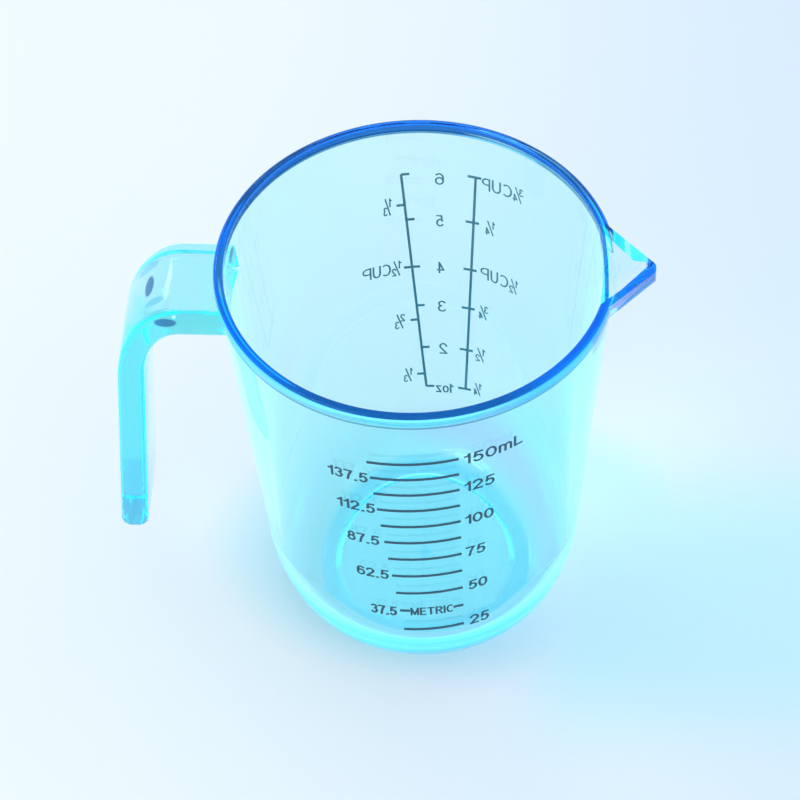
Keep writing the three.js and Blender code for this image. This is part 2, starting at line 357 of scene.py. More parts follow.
def blank():
    """The cup without its hollow: foot ring, bend, wall, band and rim."""
    s = sizes()
    ring_inside = s.foot_radius - s.foot_ring
    edge = 0.3 * MM
    band_bottom = CUP_HEIGHT - s.band_height
    band_edge = 0.15 * MM
    outer = (RIM_RADIUS - s.rim_outer_round, CUP_HEIGHT - s.rim_outer_round)
    under = (ring_inside - s.foot_recess - edge, s.foot_recess - edge)
    profile = [(under[0], s.foot_recess)]
    profile += arc(*under, edge, 90, 45, EDGE_STEPS)[1:]
    profile += arc(ring_inside + edge, edge, edge, 225, 270, EDGE_STEPS)
    profile += bend(0, 0)
    profile += [(wall_radius(band_bottom), band_bottom)]
    lower = (RIM_RADIUS - band_edge, band_bottom + band_edge)
    profile += arc(*lower, band_edge, 270, 360, EDGE_STEPS)
    profile += arc(*outer, s.rim_outer_round, 0, 90, ROUND_STEPS)
    return turned("moulding", profile)


def hollow():
    """What is cut out of the blank: the inside, with a flare that rounds the rim."""
    s = sizes()
    floor_height = s.foot_recess + s.floor
    inner_rim = wall_radius(CUP_HEIGHT) - s.wall
    corner = (inner_rim + s.rim_inner_round, CUP_HEIGHT - s.rim_inner_round)
    profile = bend(s.wall, floor_height)
    profile += arc(*corner, s.rim_inner_round, 180, 90, SMALL_STEPS)
    profile += [(corner[0], CUP_HEIGHT + CUT_RUN)]
    return turned("hollow", profile)


def wedge(name, inset, tip_width, top, edge):
    """The spout's V-shaped form. The same form, inset, is the channel inside it."""
    s = sizes()
    root_x = math.sqrt(RIM_RADIUS**2 - s.spout_half**2)
    side_slope = (s.spout_half - s.spout_tip_width / 2) / (SPOUT_REACH - root_x)
    keel_root = wall_radius(CUP_HEIGHT - s.spout_depth)
    keel_slope = (s.spout_depth - s.spout_tip_height) / (SPOUT_REACH - keel_root)
    steepness = s.spout_depth / s.spout_half
    keel_lift = inset * math.hypot(1, steepness, steepness * side_slope)
    side_shift = inset * math.hypot(1, side_slope)
    start = root_x - s.spout_half
    tip = SPOUT_REACH - (tip_width / 2 - s.spout_tip_width / 2 + side_shift) / side_slope
    deselect()
    bpy.ops.mesh.primitive_cube_add(size=2, location=(0, 0, 0))
    obj = named(name)
    places = {}
    for end, x in ((-1, start), (1, tip)):
        rim_half = s.spout_tip_width / 2 + (SPOUT_REACH - x) * side_slope - side_shift
        keel = CUP_HEIGHT - s.spout_tip_height - (SPOUT_REACH - x) * keel_slope + keel_lift
        keel_half = min(s.spout_keel, rim_half) / 2
        top_half = keel_half + (rim_half - keel_half) * (top - keel) / (CUP_HEIGHT - keel)
        places[end, 1] = (AXIS_X + x, top_half, top)
        places[end, -1] = (AXIS_X + x, keel_half, keel)
    for (end, level), (x, half, z) in places.items():
        edit(obj, lambda v: v.co.x * end > 0.5 and v.co.z * level > 0.5 and abs(v.co.y) == 1)
        bpy.ops.transform.resize(value=(1, half, 1), center_override=(0, 0, 0))
        bpy.ops.transform.translate(value=(x - end, 0, z - level))
        leave()
    tip_x = AXIS_X + tip

    def long_edge(e):
        a, b = (obj.data.vertices[i].co for i in e.vertices)
        at_tip = min(a.x, b.x) > tip_x - NEAR
        at_keel = max(a.z, b.z) < top - NEAR and abs(a.x - b.x) > MM
        return at_keel or (at_tip and abs(a.z - b.z) > 0.5 * MM)

    edit(obj, long_edge, "EDGE")
    bpy.ops.mesh.bevel(offset=edge, segments=SMALL_STEPS, profile=0.5, affect="EDGES")
    leave()
    return obj


def dip():
    """What is cut off the spout's top, so that its edges sink towards the tip."""
    s = sizes()
    start = RIM_RADIUS - s.band_step
    run = SPOUT_REACH - start
    deselect()
    bpy.ops.mesh.primitive_cube_add(size=1, location=(AXIS_X + start + run, 0, CUP_HEIGHT + run))
    obj = named("dip")
    bpy.ops.transform.resize(value=(2 * run, 4 * s.spout_half, 2 * run))
    settle(obj)
    edge = (AXIS_X + start, 0, CUP_HEIGHT)
    edit(obj)
    bpy.ops.transform.rotate(
        value=math.atan2(s.spout_dip, run), orient_axis="Y", center_override=edge
    )
    leave()
    return obj


def grip_bend(top, reach, drop, lean):
    """A quarter of an ellipse, from the level arm down to where it meets the grip's lean."""
    points = []
    last = math.atan(lean * drop / reach)
    for i in range(BEND_RINGS + 1):
        angle = math.pi / 2 + (last - math.pi / 2) * i / BEND_RINGS
        points.append(
            (sizes().arm_length + reach * math.cos(angle), top - drop + drop * math.sin(angle))
        )
    return points


def handle_bar():
    """Arm, bend and grip as one bar with rounded edges, from a flat outline."""
    s = sizes()
    underside = ARM_TOP - s.arm
    root = wall_radius(underside) - CUT_RUN
    end_height = GRIP_BOTTOM + s.grip_round
    reach = HANDLE_REACH - NEAR / 2 - s.grip_lean * (ARM_TOP - s.bend_outer_drop - end_height)
    outer_bend = grip_bend(ARM_TOP, reach - s.arm_length, s.bend_outer_drop, s.grip_lean)
    inner_bend = grip_bend(underside, s.bend_inner_reach, s.bend_inner_drop, s.grip_inner_lean)
    outer_corner = outer_bend[-1][0] + s.grip_lean * (outer_bend[-1][1] - end_height)
    inner_corner = inner_bend[-1][0] + s.grip_inner_lean * (inner_bend[-1][1] - end_height)
    outline = [(root, ARM_TOP)]
    outline += outer_bend
    outer_end = (outer_corner - s.grip_round, end_height)
    inner_end = (inner_corner + s.grip_round, end_height)
    outline += arc(*outer_end, s.grip_round, 0, -90, ROUND_STEPS)
    outline += arc(*inner_end, s.grip_round, -90, -180, ROUND_STEPS)
    outline += inner_bend[::-1]
    outline += [(root, underside)]
    curve = bpy.data.curves.new("handle_outline", "CURVE")
    curve.dimensions = "2D"
    curve.fill_mode = "BOTH"
    curve.extrude = HANDLE_WIDTH / 2 - s.handle_edge
    curve.bevel_depth = s.handle_edge
    curve.bevel_resolution = 4
    curve.offset = -s.handle_edge
    drawn(curve, [(AXIS_X - out, z, 0) for out, z in outline]).use_cyclic_u = True
    obj = meshed("handle_bar", curve)
    obj.rotation_euler = (math.pi / 2, 0, 0)
    settle(obj)
    edit(obj)
    bpy.ops.mesh.remove_doubles(threshold=0.002 * MM)
    bpy.ops.mesh.normals_make_consistent(inside=False)
    leave()
    return obj


class Paint:
    """A material's nodes. What is handed in is a number, a colour or another node's output."""

    def __init__(self, name):
        self.material = bpy.data.materials.new(name)
        self.material.use_nodes = True
        self.nodes = self.material.node_tree.nodes
        self.links = self.material.node_tree.links
        self.shader = self.nodes["Principled BSDF"]

    def feed(self, socket, value):
        """Links an output to a socket, or sets the socket to a number or colour."""
        if isinstance(value, bpy.types.NodeSocket):
            self.links.new(value, socket)
        else:
            socket.default_value = value

    def maths(self, operation, first, second=0.0):
        node = self.nodes.new("ShaderNodeMath")
        node.operation = operation
        self.feed(node.inputs[0], first)
        self.feed(node.inputs[1], second)
        return node.outputs[0]

    def fade(self, value, start, end):
        """0 up to start and 1 from end on; the other way round if end is below start."""
        node = self.nodes.new("ShaderNodeMapRange")
        node.interpolation_type = "SMOOTHSTEP"
        self.feed(node.inputs["Value"], value)
        node.inputs["From Min"].default_value = start
        node.inputs["From Max"].default_value = end
        return node.outputs["Result"]

    def both(self, *masks):
        """The product, so for masks the place where all of them are 1."""
        product = masks[0]
        for mask in masks[1:]:
            product = self.maths("MULTIPLY", product, mask)
        return product

    def mix(self, factor, below, above):
        """From the colour below, at factor 0, to the one above."""
        node = self.nodes.new("ShaderNodeMix")
        node.data_type = "RGBA"
        self.feed(node.inputs["Factor"], factor)
        self.feed(node.inputs["A"], below)
        self.feed(node.inputs["B"], above)
        return node.outputs["Result"]

    def place(self):
        """Distances from the cup's axis along x and y, and the height."""
        place = self.nodes.new("ShaderNodeTexCoord")
        split = self.nodes.new("ShaderNodeSeparateXYZ")
        self.links.new(place.outputs["Object"], split.inputs["Vector"])
        across = self.maths("SUBTRACT", split.outputs["X"], AXIS_X)
        return across, split.outputs["Y"], split.outputs["Z"]

    def patch(self, place, centre, radii):
        """1 inside an ellipsoid, with a soft edge."""
        total = 0.0
        for along, middle, radius in zip(place, centre, radii):
            part = self.maths("SUBTRACT", along, middle * MM)
            part = self.maths("DIVIDE", part, radius * MM)
            total = self.maths("ADD", self.both(part, part), total)
        return self.fade(total, 1.15, 0.6)

    def noise(self, scale):
        """A soft noise round 0.5."""
        place = self.nodes.new("ShaderNodeTexCoord")
        node = self.nodes.new("ShaderNodeTexNoise")
        node.inputs["Scale"].default_value = scale
        node.inputs["Detail"].default_value = 1
        self.links.new(place.outputs["Object"], node.inputs["Vector"])
        return node.outputs["Fac"]


# The clear plastic

# Its refraction, its roughness at most with the noise's fineness, and how soft tints end
PLASTIC_IOR = 1.5
POLISH, POLISH_GRAIN = 0.03, 90
SOFT = 0.1 * MM

# Light that has bounced this often is followed no further
GLOSSY_BOUNCES = 4
ALL_BOUNCES = 12

# Painted dark reflections and streaks on the handle's bend, and a painted highlight on the spout:
# a centre from the cup's axis and three radii, in millimetres
DARK_REFLECTION_PATCHES = (((-44.0, -0.3, 73.0), (1.0, 2.4, 1.5)), ((-40.7, -7.8, 72.5), (2.0, 1.2, 1.1)))
REFLECTION_STREAKS = (((-44.6, 4.3, 72.0), (2.8, 1.0, 3.0)), ((-42.7, -4.5, 73.8), (2.2, 0.9, 1.8)))
LIT_PATCH = ((37.2, -2.5, 75.6), (1.7, 1.1, 1.1))


def clear_plastic():
    """Tinted, clear, glossy plastic: the tint builds up with the path through it."""
    f = finish()
    paint = Paint("tinted_clear_plastic")
    shader = paint.shader
    shader.inputs["Transmission Weight"].default_value = 1
    shader.inputs["IOR"].default_value = PLASTIC_IOR
    absorb = paint.nodes.new("ShaderNodeVolumeAbsorption")
    absorb.inputs["Color"].default_value = f.tint
    absorb.inputs["Density"].default_value = f.tint_strength
    output = paint.nodes["Material Output"]
    paint.links.new(absorb.outputs["Volume"], output.inputs["Volume"])
    paint.feed(shader.inputs["Roughness"], paint.both(paint.noise(POLISH_GRAIN), POLISH))
    # The base colour carries painted shade, painted highlights and painted reflections.
    tint, dark = tint_and_painted_shade(paint)
    paint.feed(shader.inputs["Base Color"], tint)
    # Painted reflection: the gloss on the painted dark surfaces is tinted blue and dimmed.
    paint.feed(shader.inputs["Specular Tint"], paint.mix(dark, (1, 1, 1, 1), f.dark_gloss))
    trapped_light(paint)
    paint.material.cycles.emission_sampling = "NONE"
    return paint.material


def tint_and_painted_shade(paint):
    """The tint of each surface with its painted shade, highlights and reflections, and a mask of
    the dark ones, which mirror less light.
    """
    x, y, z = place = paint.place()
    out = paint.maths("SQRT", paint.maths("ADD", paint.both(x, x), paint.both(y, y)))
    tint = foot_shade_and_gate(paint, x, z, out)
    tint = band_shading(paint, tint, x, z, out)
    tint, top = rim_shading(paint, tint, place, out)
    tint, front = spout_shading(paint, tint, place, out)
    at_handle = paint.maths("LESS_THAN", x, -RIM_RADIUS - 2 * MM)
    tint = paint.mix(at_handle, tint, handle_tint(paint, place))
    return tint, paint.maths("MAXIMUM", top, front)


def foot_shade_and_gate(paint, x, z, out):
    """Painted shade on the bend's lower right, on the floor and on the foot ring that shows through
    it, and the gate mark.
    """
    f, s = finish(), sizes()
    # Painted shade: the bend is painted darker low on its right.
    low = paint.both(paint.fade(z, 14 * MM, 3 * MM), paint.fade(out, s.foot_radius, 26 * MM))
    low = paint.both(low, paint.fade(x, -10 * MM, 4 * MM))
    tint = paint.mix(low, f.surface_tint, f.low_painted_shade)
    # Painted shade: the cup's floor is painted a deeper cyan.
    above_floor = s.foot_recess + s.floor + MM
    near_floor = paint.fade(z, above_floor + 0.4 * MM, above_floor)
    on_floor = paint.both(near_floor, paint.fade(out, s.foot_radius, s.foot_radius - MM))
    tint = paint.mix(on_floor, tint, f.cup_floor_shade)
    # Painted shade on the foot ring seen through the floor, and the real gate mark at the middle.
    blur = 0.8 * MM
    ring_inside = s.foot_radius - s.foot_ring
    ring_outside = s.foot_radius + 0.6 * MM
    ring = paint.fade(out, ring_inside - blur, ring_inside)
    ring = paint.both(ring, paint.fade(out, ring_outside, ring_outside - blur))
    gate = paint.fade(out, 1.2 * MM, 0.6 * MM)
    deep = paint.both(near_floor, paint.maths("MAXIMUM", ring, gate))
    return paint.mix(deep, tint, f.foot_shade_and_gate)


def band_shading(paint, tint, x, z, out):
    """Painted shade on the band's outside: blue, palest at the front, with a dark line along its
    lower edge.
    """
    f, s = finish(), sizes()
    ledge = CUP_HEIGHT - s.band_height
    line_top = ledge + 0.55 * MM
    inside = RIM_RADIUS - 0.75 * MM
    outside = paint.fade(out, inside, inside + SOFT)
    outside = paint.both(outside, paint.fade(z, ledge - SOFT, ledge - SOFT / 2))
    # Painted shade: the dark line along the band's lower edge.
    line = paint.fade(z, line_top, line_top - SOFT)
    side = paint.mix(paint.fade(x, -5 * MM, 5 * MM), f.band_left, f.band_right)
    aside = paint.fade(paint.maths("ABSOLUTE", x), 6 * MM, 22 * MM)
    band = paint.mix(aside, f.band_front, side)
    return paint.mix(outside, tint, paint.mix(line, band, f.ledge_shade))


def rim_shading(paint, tint, place, out):
    """Painted shade: dark on the rim's top, with a lighter line along its sides, and on the back's
    rounding.
    """
    f, s = finish(), sizes()
    x, y, z = place
    top = paint.fade(z, CUP_HEIGHT - 6 * SOFT, CUP_HEIGHT - 5 * SOFT)
    top = paint.both(top, paint.fade(out, RIM_RADIUS - SOFT, RIM_RADIUS - 2 * SOFT))
    inner = paint.fade(z, CUP_HEIGHT - 1.5 * MM, CUP_HEIGHT - 1.3 * MM)
    inner = paint.both(inner, paint.fade(out, RIM_RADIUS - MM, RIM_RADIUS - 1.2 * MM))
    inner = paint.both(inner, paint.fade(y, -2 * MM, 4 * MM), paint.fade(x, 14 * MM, 6 * MM))
    top = paint.maths("MAXIMUM", top, inner)
    aside = paint.maths("ABSOLUTE", x)
    beside = paint.both(y, paint.maths("SIGN", x))
    line_inside = RIM_RADIUS - 1.2 * MM
    line_outside = RIM_RADIUS - 0.8 * MM
    line = paint.fade(aside, 0.5 * RIM_RADIUS, 0.7 * RIM_RADIUS)
    line = paint.both(line, paint.fade(beside, 3 * MM, 8 * MM))
    line = paint.both(line, paint.fade(out, line_inside, line_inside + SOFT))
    line = paint.both(line, paint.fade(out, line_outside, line_outside - SOFT))
    rounding = paint.fade(z, CUP_HEIGHT - 1.1 * s.rim_outer_round, CUP_HEIGHT - s.rim_outer_round)
    rounding = paint.both(rounding, paint.fade(y, 3 * MM, 8 * MM))
    tint = paint.mix(rounding, tint, f.rim_back)
    at_front = paint.fade(y, -0.6 * RIM_RADIUS, -0.9 * RIM_RADIUS)
    dark = paint.mix(at_front, f.rim_shading, f.rim_front)
    return paint.mix(top, tint, paint.mix(line, dark, f.rim_line)), top


def spout_plane():
    """The plane of the spout's outer side, as a normal and its distance from the cup's axis."""
    s = sizes()
    root = Vector((math.sqrt(RIM_RADIUS**2 - s.spout_half**2), s.spout_half, CUP_HEIGHT))
    tip = Vector((SPOUT_REACH, s.spout_tip_width / 2, CUP_HEIGHT))
    keel_height = CUP_HEIGHT - s.spout_depth
    keel = Vector((wall_radius(keel_height), s.spout_keel / 2, keel_height))
    normal = (tip - root).cross(keel - root).normalized()
    if normal.y < 0:
        normal.negate()
    return normal, normal.dot(root)


def spout_shading(paint, tint, place, out):
    """Painted shade: clear at the back of the spout, deep blue on its front side, its tip and its
    crease, with a painted highlight on the front.
    """
    f, s = finish(), sizes()
    x, y, z = place
    here = paint.fade(x, RIM_RADIUS - 3 * MM, RIM_RADIUS - 3 * MM + SOFT)
    here = paint.both(here, paint.fade(z, CUP_HEIGHT - 13 * MM, CUP_HEIGHT - 12.5 * MM))
    normal, offset = spout_plane()
    across = paint.maths("ABSOLUTE", paint.maths("SUBTRACT", y, s.channel_shift))
    depth = paint.maths("ADD", paint.both(x, normal.x), paint.both(across, normal.y))
    depth = paint.maths("ADD", depth, paint.both(z, normal.z))
    channel = offset - s.spout_wall + SOFT / 2
    inside = paint.fade(depth, channel + SOFT, channel)
    tint = paint.mix(paint.both(here, inside), tint, f.surface_tint)
    beyond = paint.both(here, paint.fade(out, RIM_RADIUS + SOFT, RIM_RADIUS + 3 * SOFT))
    back = paint.both(beyond, paint.fade(y, 0.5 * MM, 0.8 * MM))
    tint = paint.mix(back, tint, f.spout_back)
    on_side = paint.fade(depth, channel, channel + SOFT)
    front = paint.both(beyond, on_side, paint.fade(y, -0.2 * MM, -0.4 * MM))
    # Painted highlight: a lit patch is left out of the spout's painted shade.
    front = paint.both(front, paint.maths("SUBTRACT", 1.0, paint.patch(place, *LIT_PATCH)))
    tint = paint.mix(front, tint, f.spout_shading)
    # Painted shade along the crease where the spout leaves the wall.
    inner_rim = RIM_RADIUS - s.wall
    crease = paint.fade(out, inner_rim + 3 * SOFT, inner_rim + 2 * SOFT)
    crease = paint.both(crease, paint.fade(out, inner_rim - 5 * SOFT, inner_rim - 3 * SOFT))
    tint = paint.mix(paint.both(here, inside, crease), tint, f.crease_shade)
    tip = paint.fade(x, SPOUT_REACH - 1.6 * MM, SPOUT_REACH - 1.2 * MM)
    return paint.mix(tip, tint, f.spout_shading), paint.maths("MAXIMUM", front, tip)


def handle_tint(paint, place):
    """The handle, deeper at the grip's end, with painted dark reflections and streaks on the bend.
    """
    f = finish()
    grip_end = paint.fade(place[2], GRIP_BOTTOM + 10.5 * MM, GRIP_BOTTOM + 9 * MM)
    tint = paint.mix(grip_end, f.handle_tint, f.tip_tint)
    # Painted reflections on the handle's bend.
    for patches, deeper in ((REFLECTION_STREAKS, f.streak_reflection), (DARK_REFLECTION_PATCHES, f.patch_reflection)):
        for centre, radii in patches:
            tint = paint.mix(paint.patch(place, centre, radii), tint, deeper)
    return tint


def trapped_light(paint):
    """Light that is still inside the plastic after the last bounce that is followed."""
    f = finish()
    x, y, z = paint.place()
    in_spout = paint.fade(x, RIM_RADIUS - 2.6 * MM, RIM_RADIUS - 2.4 * MM)
    in_spout = paint.both(in_spout, paint.fade(z, CUP_HEIGHT - 14.5 * MM, CUP_HEIGHT - 13.5 * MM))
    in_handle = paint.maths("LESS_THAN", x, -RIM_RADIUS)
    side = paint.mix(paint.fade(y, 0.5 * MM, 0.0), f.trapped_back, f.trapped_spout)
    light = paint.mix(in_spout, f.trapped, side)
    light = paint.mix(in_handle, light, f.trapped_handle)
    paint.feed(paint.shader.inputs["Emission Color"], light)
    path = paint.nodes.new("ShaderNodeLightPath")
    glossy = paint.maths("GREATER_THAN", path.outputs["Glossy Depth"], GLOSSY_BOUNCES - 0.5)
    through = paint.maths("GREATER_THAN", path.outputs["Transmission Depth"], ALL_BOUNCES - 0.5)
    long = paint.maths("GREATER_THAN", path.outputs["Ray Depth"], ALL_BOUNCES - 0.5)
    last = paint.maths("MAXIMUM", glossy, paint.maths("MAXIMUM", through, long))
    paint.feed(paint.shader.inputs["Emission Strength"], last)


# The ink

# Its roughness, the noise's fineness, and how much lighter the ink is where it lies thin
INK_ROUGHNESS = 0.45
INK_GRAIN = 2500
INK_THINNING = 1.6


def printing_ink(name, ink):
    """Ink, nearly matt, a little uneven as a screen print is."""
    made = bpy.data.materials.get(name)
    if made:
        return made
    paint = Paint(name)
    thinner = [channel * INK_THINNING for channel in ink[:3]] + [1]
    print_colour = paint.mix(paint.noise(INK_GRAIN), ink, thinner)
    paint.feed(paint.shader.inputs["Base Color"], print_colour)
    paint.shader.inputs["Roughness"].default_value = INK_ROUGHNESS
    return paint.material


def front_ink():
    return printing_ink("printing_ink", finish().ink)


def back_ink():
    return printing_ink("thin_printing_ink", finish().thin_ink)


def give(obj, material):
    obj.data.materials.clear()
    obj.data.materials.append(material)


class CUP_OT_moulding(bpy.types.Operator):
    """Models the cup's one moulding: wall, foot, rim, spout and handle."""

    bl_idname = "cup.moulding"
    bl_label = "Moulding"

    def execute(self, context):
        s = sizes()
        cup = blank()
        combine(cup, wedge("spout", 0, s.spout_tip_width, CUP_HEIGHT, s.spout_edge), "UNION")
        combine(cup, handle_bar(), "UNION")
        combine(cup, hollow(), "DIFFERENCE")
        cut_top = CUP_HEIGHT + CUT_RUN
        channel = wedge("channel", s.spout_wall, s.channel_tip, cut_top, s.channel_edge)
        bpy.ops.transform.translate(value=(0, s.channel_shift, 0))
        settle(channel)
        combine(cup, channel, "DIFFERENCE")
        combine(cup, dip(), "DIFFERENCE")
        edit(cup)
        bpy.ops.mesh.remove_doubles(threshold=0.001 * MM)
        leave()
        pick(cup)
        bpy.ops.object.shade_smooth_by_angle(angle=math.radians(30))
        give(cup, clear_plastic())
        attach(cup, "root")
        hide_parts("cup_body", "handle")
        cup.visible_shadow = False
        return {"FINISHED"}


# The printed scales


def on_wall(side, lean, arc_length, z, lift):
    """A place on the wall. Arcs run towards the spout on the front and away from it behind."""
    height = z + lean * side * arc_length
    radius = outer_radius(height) + lift
    angle = arc_length / outer_radius(z)
    return Vector(
        (AXIS_X + side * radius * math.sin(angle), -side * radius * math.cos(angle), height)
    )


# Letters as strokes. An arc is a centre, two radii and two angles, a line is its corners, and
# a capital is 1 high. The number before the strokes is the letter's width.
LETTERS = {
    "0": (0.62, [("arc", 0.31, 0.5, 0.31, 0.5, 0, 360)]),
    "1": (0.30, [("line", 0.30, 0, 0.30, 1), ("line", 0.30, 0.98, 0.18, 0.80, 0, 0.74)]),
    "2": (0.58, [("arc", 0.29, 0.72, 0.29, 0.28, 180, -20), ("line", 0.56, 0.62, 0, 0, 0.58, 0)]),
    "3": (
        0.56,
        [("arc", 0.27, 0.76, 0.25, 0.24, 165, -90), ("arc", 0.27, 0.27, 0.29, 0.27, 90, -160)],
    ),
    "4": (0.62, [("line", 0.44, 0, 0.44, 1, 0, 0.27, 0.62, 0.27)]),
    "5": (
        0.57,
        [("line", 0.55, 1, 0.13, 1, 0.06, 0.5), ("arc", 0.27, 0.32, 0.30, 0.32, 135, -155)],
    ),
    "6": (
        0.58,
        [
            ("arc", 0.29, 0.31, 0.29, 0.31, 0, 360),
            ("arc", 0.30, 0.62, 0.30, 0.38, 35, 180),
            ("line", 0, 0.64, 0, 0.31),
        ],
    ),
    "7": (0.58, [("line", 0, 1, 0.58, 1, 0.36, 0.55, 0.24, 0)]),
    "8": (
        0.58,
        [("arc", 0.29, 0.76, 0.23, 0.24, 0, 360), ("arc", 0.29, 0.27, 0.29, 0.27, 0, 360)],
    ),
    ".": (0.12, [("line", 0, 0, 0.12, 0)]),
    "m": (
        0.8,
        [
            ("line", 0, 0, 0, 0.72),
            ("arc", 0.2, 0.5, 0.2, 0.22, 180, 0),
            ("line", 0.4, 0.52, 0.4, 0),
            ("arc", 0.6, 0.5, 0.2, 0.22, 180, 0),
            ("line", 0.8, 0.52, 0.8, 0),
        ],
    ),
    "L": (0.5, [("line", 0, 1, 0, 0, 0.5, 0)]),
    "M": (0.72, [("line", 0, 0, 0, 1, 0.36, 0.05, 0.72, 1, 0.72, 0)]),
    "E": (0.5, [("line", 0.5, 1, 0, 1, 0, 0, 0.5, 0), ("line", 0, 0.52, 0.44, 0.52)]),
    "T": (0.6, [("line", 0, 1, 0.6, 1), ("line", 0.3, 1, 0.3, 0)]),
    "R": (
        0.58,
        [
            ("line", 0, 0, 0, 1, 0.3, 1),
            ("arc", 0.3, 0.76, 0.26, 0.24, 90, -90),
            ("line", 0.3, 0.52, 0, 0.52),
            ("line", 0.28, 0.52, 0.58, 0),
        ],
    ),
    "I": (0.0, [("line", 0, 0, 0, 1)]),
    "C": (0.62, [("arc", 0.34, 0.5, 0.34, 0.5, 50, 310)]),
    "U": (
        0.58,
        [
            ("line", 0, 1, 0, 0.33),
            ("arc", 0.29, 0.35, 0.29, 0.35, 180, 360),
            ("line", 0.58, 0.33, 0.58, 1),
        ],
    ),
    "P": (
        0.56,
        [
            ("line", 0, 0, 0, 1, 0.28, 1),
            ("arc", 0.28, 0.74, 0.28, 0.26, 90, -90),
            ("line", 0.28, 0.48, 0, 0.48),
        ],
    ),
    "o": (0.54, [("arc", 0.27, 0.36, 0.27, 0.36, 0, 360)]),
    "z": (0.48, [("line", 0, 0.7, 0.46, 0.7, 0, 0, 0.48, 0)]),
}
LETTER_GAP = 0.3

# A fraction: its slash, where its two figures start, their size and its width
SLASH = [(0.16, 0.0), (0.62, 1.0)]
FIGURE_STARTS = ((0.0, 0.52), (0.5, 0.0))
FIGURE_WIDE, FIGURE_HIGH = 0.5, 0.48
FRACTION_WIDTH = 0.8

# How far a straight stroke runs past each end, as a share of the pen
STROKE_RUN = 0.4

FRONT, BACK = 1, -1


def letter_strokes(text):
    """A word's strokes, each a row of places, in heights of a capital, and the word's width."""
    if "/" in text:
        strokes = [SLASH]
        for figure, (across, up) in zip(text.split("/"), FIGURE_STARTS):
            for stroke in letter_strokes(figure)[0]:
                strokes.append(
                    [(across + FIGURE_WIDE * u, up + FIGURE_HIGH * v) for u, v in stroke]
                )
        return strokes, FRACTION_WIDTH
    strokes, start = [], 0.0
    for letter in text:
        width, parts = LETTERS[letter]
        for kind, *numbers in parts:
            if kind == "line":
                corners = [(start + u, v) for u, v in zip(numbers[::2], numbers[1::2])]
                strokes += [list(pair) for pair in zip(corners, corners[1:])]
            else:
                u, v, wide, high, first, last = numbers
                steps = max(ARC_STEPS, round(abs(last - first) / ARC_STEP))
                turns = [math.radians(first + (last - first) * i / steps) for i in range(steps + 1)]
                strokes.append(
                    [(start + u + wide * math.cos(a), v + high * math.sin(a)) for a in turns]
                )
        start += width + LETTER_GAP
    return strokes, start - LETTER_GAP


def word(text, side, lean, left, right, middle, cap, pen):
    """A word drawn with a pen of one width, wrapped on the wall between two arcs."""
    s = sizes()
    strokes, width = letter_strokes(text)
    curve = bpy.data.curves.new("word", "CURVE")
    curve.dimensions = "3D"
    curve.bevel_depth = pen / 2
    curve.bevel_resolution = 1
    curve.use_fill_caps = True
    stretch = (right - left - pen) / width if width else 0
    for stroke in strokes:
        places = [Vector((stretch * u, (cap - pen) * (v - 0.5), 0)) for u, v in stroke]
        if len(places) == 2:
            along = (places[1] - places[0]).normalized() * STROKE_RUN * pen
            places = [places[0] - along, places[1] + along]
        drawn(curve, places)
    obj = meshed("word", curve)
    for v in obj.data.vertices:
        lift = s.ink_gap + s.ink * (v.co.z / pen + 0.5)
        v.co = on_wall(side, lean, left + pen / 2 + v.co.x, middle + v.co.y, lift)
    return obj


def gather(name, pieces, ink):
    """Joins the words of one scale into one piece."""
    deselect()
    for piece in pieces:
        piece.select_set(True)
    bpy.context.view_layer.objects.active = pieces[0]
    bpy.ops.object.join()
    obj = named(name)
    give(obj, ink)
    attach(obj, "root")


def line_height(*nodes):
    """Height that a printed line would have at the front, since it runs askew."""
    corners = [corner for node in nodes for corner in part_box(node)]
    x, z = [(min(c[i] for c in corners) + max(c[i] for c in corners)) / 2 for i in (0, 2)]
    return z - sizes().metric_lean * (x - AXIS_X)


# The words: text, left and right end as arcs, and how far above its line, in millimetres
METRIC_WORDS = {
    "150": ("150mL", 9.11, 19.5, -0.6),
    "137_5": ("137.5", -13.64, -6.59, -0.43),
    "125": ("125", 9.07, 14.33, 0.25),
    "112_5": ("112.5", -12.44, -5.71, -0.05),
    "100": ("100", 9.05, 14.08, -0.13),
    "87_5": ("87.5", -11.03, -5.36, 0),
    "75": ("75", 8.95, 12.48, 0),
    "62_5": ("62.5", -9.79, -4.1, 0),
    "50": ("50", 9.28, 12.73, 0),
    "25": ("25", 9.39, 12.92, 0.3),
}
METRIC_CAP_LEFT, METRIC_CAP_RIGHT = 2.8, 2.9

# The same for the broken line, with the height of a capital and the pen's share
DASH_WORDS = (("37.5", -7.75, -3.08, -0.46, 2.8, 1), ("METRIC", -0.77, 6.7, -0.33, 2.4, 0.8))

